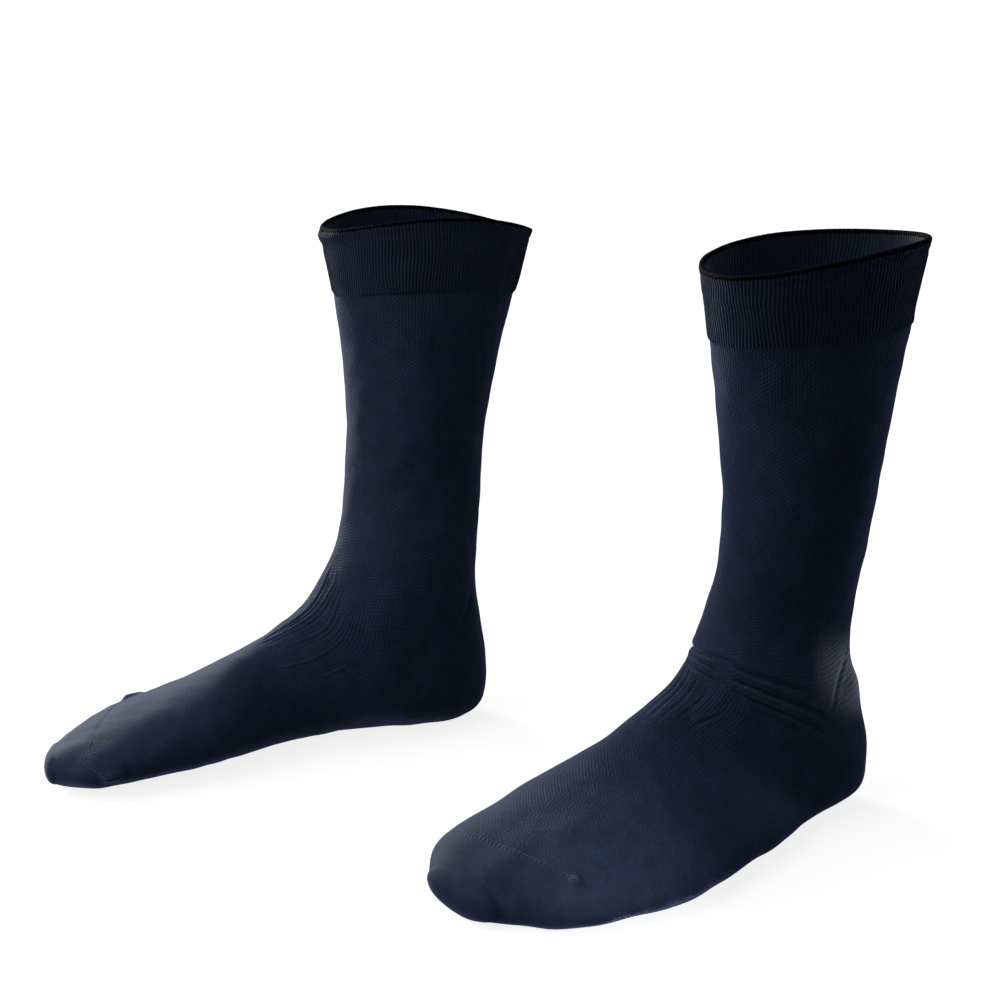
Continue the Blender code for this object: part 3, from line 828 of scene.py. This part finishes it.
# Places rows of cloth by run and angle: the skin moved along its facing by a lift and the relief, sunk by
# a bell at the seam and one below the cuff, with the ears on the outer side alone. Gives the points, and
# the painted shade at each, in mm of crease depth: creases, both sinks and the tucks behind ears are
# darker.
def clothPoints(sockName, run, angle, lift):
    sock = socks[sockName]
    run, angle = np.broadcast_arrays(run, angle)
    base = skin(sock, run, angle)
    out = facing(sock, run, angle)
    turned = (angle + 180) % 360 - 180
    onTop = (turned < sock["ears"][0]) & (turned > sock["ears"][1])
    fromSeam = (run - toeSeamRun(sock, angle)) / tube["seamSinkWidth"]
    shown = np.interp(turned, *zip(*sock["seamShows"]))
    fromCuff = (run - runOf["cuffBase"] - tube["cuffSinkAt"]) / tube["cuffSinkWidth"]
    sink = tube["seamSink"] * np.exp(-fromSeam**2) * onTop * shown
    sink = sink + tube["cuffSink"] * np.exp(-fromCuff**2)
    rise, paintedShade = relief(sockName, run, angle)
    shift, paintedTuckShare = earShift(sock, base, out, heelward(sock, run, angle))
    outer = lift > -0.5 * form["wall"]
    points = base + out * (lift + rise - sink)[..., None] + shift * outer[..., None]
    # Painted shade: creases, both sinks and the tucks behind the ears darken the colour
    return inPlace(sock, points), (paintedShade - sink) / mm - ear["tuckPaintedShade"] * paintedTuckShare


# One looped shell: the outer rows from inside the cuff to the toe seam, denser at the ankle, and back
# up on the inner side, one wall thickness further in.
def buildTube(sockName):
    sock = socks[sockName]
    angle = crowdedAngles(tube["columns"])
    first = runOf["cuffBase"] - tube["tuck"]
    last = toeSeamRun(sock, angle) - tube["seamGap"]
    starts = [first / mm] + [end for end, step in tube["steps"]]
    stretches = [np.arange(start, end, step) for start, (end, step) in zip(starts, tube["steps"])]
    level = np.concatenate(stretches) * mm
    share = 1 - (1 - np.linspace(0, 1, tube["foreRows"])) ** tube["foreEase"]
    fore = runOf["arch"] + share[:, None] * (last - runOf["arch"])
    fore[-2] = last - tube["endRow"]
    outerRun = np.concatenate([np.repeat(level[:, None], len(angle), axis=1), fore])
    back = np.arange(runOf["arch"], first, -tube["insideStep"])
    innerShare = np.linspace(1, 0, tube["insideForeRows"])[:-1]
    innerFore = runOf["arch"] + innerShare[:, None] * (last - runOf["arch"])
    innerRun = np.concatenate([innerFore, np.repeat(back[:, None], len(angle), axis=1), outerRun[:1]])
    run = np.concatenate([outerRun, innerRun])
    lift = np.zeros(run.shape)
    lift[len(outerRun):] = -form["wall"]
    points, paintedShade = clothPoints(sockName, run, angle, lift)

    # How strongly rising, falling and level lines of stitches show, and the pull of the instep and cuff.
    # Both socks are knitted alike, not mirrored, so u runs the same way round in both.
    reach = run / mm
    leg = smoothStep(reach, *tube["legEnds"])
    foot = smoothStep(reach, *tube["foreEnds"])
    toeward = smoothStep(reach, *tube["toeEnds"])
    pullRun, pullAngle, radius = sock["pulled"]
    away = skin(sock, run, angle) - skin(sock, np.array(pullRun * mm), np.array(float(pullAngle)))
    pull = np.exp(-(away**2).sum(axis=-1) / (radius * mm) ** 2)
    fromCuff = (run - runOf["cuffBase"]) / tube["cuffPullEnd"]
    pull = pull + tube["cuffPull"] * np.exp(-fromCuff**2)
    falling = sock["falling"] * foot * (1 - tube["toeFade"] * toeward)
    stitches = np.stack([1 - leg, falling, leg - foot, pull], axis=-1)
    wales = sock["side"] * angle / 360 * form["wales"]
    kept = {"stitches": stitches, "paintedShade": paintedShade}
    courses = courseAt(sock, run)
    mesh = gridMesh(sockName + "Tube", points, wales, form["wales"], courses, attributes=kept)
    nodes = [sockName + part for part in ("_leg", "_heel", "_foot")]
    return addPiece(sockName + "Tube", mesh, plainKnit, "plain_knit", *nodes)


toe = {
    "columns": 288,
    "rows": 30,
    "ease": 1.3,  # above 1 the rows are closer near the seam
    "tipRows": 10,
    "insideRows": 8,
    "flat": (0.18, 0.048),
}
seam = {
    "halfWidth": 1.0 * mm,
    "height": 0.45 * mm,
    "sunk": 0.5,  # the share of the groove's depth by which the strip sits in it
    "stitch": 2.4 * mm,
    "beat": 0.4,  # the height swells and sinks by this share once a stitch
    "widthBeat": 0.1,
    "groove": 0.15,  # between the humps, in heights
    "humps": 1.6,
    "under": -0.4,  # and this far into the cloth
    "taper": 2 * mm,  # both ends narrow to a point over this
    "pointsPerStitch": 6,
    "around": 16,
    "lines": 4,  # turns of the wales round the strip: both sides and the groove are painted dark, as shade
}


# The toe pocket: rows from the seam to a pole at the tip, spaced there by a sine, then back on the inner
# side.
def buildToe(sockName):
    sock = socks[sockName]
    angle = crowdedAngles(toe["columns"])
    first = toeSeamRun(sock, angle) + tube["seamGap"]
    share = np.linspace(0, 1, toe["rows"], endpoint=False)[:, None] ** toe["ease"]
    body = first + share * (runOf["toeEnd"] - first)
    body[1] = first + tube["endRow"]
    tip = runOf["toeEnd"] + form["tipDepth"] * np.sin(np.linspace(0, np.pi / 2, toe["tipRows"]))
    outerRun = np.concatenate([body, np.repeat(tip[:, None], len(angle), axis=1)])
    innerTip = np.repeat(tip[::-2][:, None], len(angle), axis=1)
    back = np.linspace(1, 0, toe["insideRows"])[1:, None]
    innerRun = np.concatenate([innerTip, first + back * (runOf["toeEnd"] - first)])
    run = np.concatenate([outerRun, innerRun])
    pole = len(outerRun) - 1
    lift = np.zeros(run.shape)
    lift[pole + 1:] = -form["wall"]
    points, paintedShade = clothPoints(sockName, run, angle, lift)
    tipPoint = skin(sock, np.array(runOf["toeEnd"] + form["tipDepth"]), np.array(0.0))
    points[pole] = inPlace(sock, tipPoint)
    points[pole + 1] = inPlace(sock, tipPoint - np.array([0, form["wall"], 0]))
    wales = angle / 360 * form["wales"]
    courses = courseAt(sock, run)
    mesh = gridMesh(
        sockName + "Toe", points, wales, form["wales"], courses, gaps=(pole,),
        attributes={"paintedShade": paintedShade},
    )
    return addPiece(sockName + "Toe", mesh, pocketKnit, "pocket_knit", sockName + "_toe")


# The linked seam as a double row of stitches carried along the seam's line: a low strip with two humps,
# sin t (groove + humps cos^2 t), whose height swells and sinks once a stitch and closes to a point at
# both ends.
def buildToeSeam(sockName):
    sock = socks[sockName]
    fine = np.linspace(sock["ears"][1], sock["ears"][0], 800)
    place = skin(sock, toeSeamRun(sock, fine), fine)
    length = np.concatenate([[0], np.cumsum(np.linalg.norm(np.diff(place, axis=0), axis=1))])
    steps = int(length[-1] / seam["stitch"]) * seam["pointsPerStitch"]
    s = np.linspace(0, length[-1], steps)
    angle = np.interp(s, length, fine)
    run = toeSeamRun(sock, angle)
    base = skin(sock, run, angle)
    out = facing(sock, run, angle)
    across = np.cross(out, unit(np.gradient(base, axis=0)))
    shown = np.interp(angle, *zip(*sock["seamShows"]))
    lift = relief(sockName, run, angle)[0] - seam["sunk"] * tube["seamSink"] * shown
    centre = base + out * lift[:, None] + earShift(sock, base, out, heelward(sock, run, angle))[0]

    taper = np.sqrt(np.clip(np.minimum(s, length[-1] - s) / seam["taper"], 0, 1))[:, None]
    beat = 1 - seam["beat"] + seam["beat"] * np.cos(2 * np.pi * s / seam["stitch"])[:, None]
    turn = np.arange(seam["around"]) * 2 * np.pi / seam["around"]
    high = np.maximum(np.sin(turn), seam["under"]) * (seam["groove"] + seam["humps"] * np.cos(turn) ** 2)
    wide = seam["halfWidth"] * taper * np.cos(turn) * (1 - seam["widthBeat"] + seam["widthBeat"] * beat)
    tall = seam["height"] * taper * high * beat * shown[:, None]
    points = centre[:, None] + across[:, None] * wide[..., None] + out[:, None] * tall[..., None]
    wales = turn / (2 * np.pi) * seam["lines"]
    courses = (s / seam["stitch"])[:, None]
    level = np.broadcast_to([0.0, 0.0, 1.0, 0.0], wide.shape + (4,))
    mesh = gridMesh(
        sockName + "ToeSeam", inPlace(sock, points), wales, seam["lines"], courses, looped=False,
        attributes={"stitches": level},
    )
    return addPiece(sockName + "ToeSeam", mesh, seamThread, "pocket_knit")


for sockName in socks:
    cuffPiece = buildCuff(sockName)
    edgePiece = buildRimEdge(sockName)
    tubePiece = buildTube(sockName)
    toePiece = buildToe(sockName)
    seamPiece = buildToeSeam(sockName)
    print(sockName, "sock made")

stage = {
    "floorSize": 60.0,  # metres
    "floorSeen": "#ffffff",
    "floorGlow": 1.38,  # just past white, so that only shadows show
    "floorLit": "#101010",  # what the floor throws back at the socks
    "shadowShare": 0.4,  # how much of the floor's own shading shows
    "worldSeen": 1.05,
    "worldLit": 0.245,
    "worldTint": "#e6ecff",  # a cool fill
}
# A wide light from before the toes, a warm one from the right sock's outer side, and small ones for the
# right foot's side, the left forefoot's side and the back of the left ankle.
spot = {"kind": "SPOT", "spot_blend": 1.0, "shadow_soft_size": 0.01}
lamps = {
    "frontLight": {
        "kind": "SUN",
        "place": (-0.08, -0.79, 0.63),
        "aim": (0, 0, 0),
        "energy": 1.22,
        "angle": np.radians(50.0),
        "color": linearColour("#ffffff")[:3],
    },
    "backLight": {
        "kind": "SUN",
        "place": (-1.1, -0.2, 0.35),
        "aim": (0, 0, 0),
        "energy": 2.3,
        "angle": np.radians(24.0),
        "color": linearColour("#fffade")[:3],
    },
    "lowLight": {
        "kind": "AREA",
        "place": (-0.05, -0.45, -0.15),
        "aim": (-0.2, -0.15, -0.24),
        "energy": 0.3,
        "size": 0.3,
    },
    "footLight": spot | {
        "place": (0.33, -0.25, -0.1),
        "aim": (0.032, -0.132, -0.262),
        "energy": 3.0,
        "spot_size": np.radians(19.0),
    },
    "heelLight": spot | {
        "place": (-0.005, 0.2, -0.24),
        "aim": (0.0, 0.045, -0.203),
        "energy": 0.42,
        "spot_size": np.radians(15.0),
    },
}


# A background or surface that shows one thing to the eye and gives another to everything else.
def seenOrLit(tree, seen, lit):
    ray = addNode(tree, "ShaderNodeLightPath", output=0)
    return addNode(tree, "ShaderNodeMixShader", {0: ray, 1: lit, 2: seen})


floorZ = cadLow[2]
half = stage["floorSize"] / 2
floorMesh = bpy.data.meshes.new("floor")
floorMesh.from_pydata(
    [(-half, -half, floorZ), (half, -half, floorZ), (half, half, floorZ), (-half, half, floorZ)],
    [],
    [(0, 1, 2, 3)],
)
floor = bpy.data.objects.new("floor", floorMesh)
bpy.context.scene.collection.objects.link(floor)

# Matt white board under even studio light. It gives the eye a white ground with faint soft shadows.
floorPaint = bpy.data.materials.new("paleStudioFloor")
floorPaint.use_nodes = True
tree = floorPaint.node_tree
tree.nodes.remove(tree.nodes["Principled BSDF"])
seenColour = linearColour(stage["floorSeen"])
board = addNode(tree, "ShaderNodeBsdfDiffuse", {"Color": seenColour})
even = addNode(tree, "ShaderNodeEmission", {"Color": seenColour, "Strength": stage["floorGlow"]})
seen = addNode(tree, "ShaderNodeMixShader", {0: stage["shadowShare"], 1: even, 2: board})
lit = addNode(tree, "ShaderNodeBsdfDiffuse", {"Color": linearColour(stage["floorLit"])})
tree.links.new(seenOrLit(tree, seen, lit), tree.nodes["Material Output"].inputs["Surface"])
floorMesh.materials.append(floorPaint)

world = bpy.data.worlds.new("studio")
world.use_nodes = True
tree = world.node_tree
tree.nodes.remove(tree.nodes["Background"])
seen = addNode(tree, "ShaderNodeBackground", {"Color": seenColour, "Strength": stage["worldSeen"]})
litColour = linearColour(stage["worldTint"])
lit = addNode(tree, "ShaderNodeBackground", {"Color": litColour, "Strength": stage["worldLit"]})
tree.links.new(seenOrLit(tree, seen, lit), tree.nodes["World Output"].inputs["Surface"])
bpy.context.scene.world = world


# A lamp turned so that its -Z looks from its place to its aim.
def addLamp(name, kind, place, aim, energy, **settings):
    light = bpy.data.lights.new(name, kind)
    light.energy = energy
    for key, value in settings.items():
        setattr(light, key, value)
    lamp = bpy.data.objects.new(name, light)
    lamp.location = place
    lamp.rotation_euler = (Vector(aim) - Vector(place)).to_track_quat("-Z", "Y").to_euler()
    bpy.context.scene.collection.objects.link(lamp)


for name, lamp in lamps.items():
    addLamp(name, **lamp)

view = {"place": (0.604, -0.5495, 0.0991), "tilt": 76.06, "heading": 58.46, "lens": 59.13, "sensor": 36}
camera = bpy.data.objects.new("camera", bpy.data.cameras.new("camera"))
camera.location = view["place"]
camera.rotation_euler = (np.radians(view["tilt"]), 0, np.radians(view["heading"]))
camera.data.lens = view["lens"]
camera.data.sensor_width = view["sensor"]
bpy.context.scene.collection.objects.link(camera)
bpy.context.scene.camera = camera
bpy.context.scene.view_settings.view_transform = "Standard"
print("stage made")

bpy.context.view_layer.update()
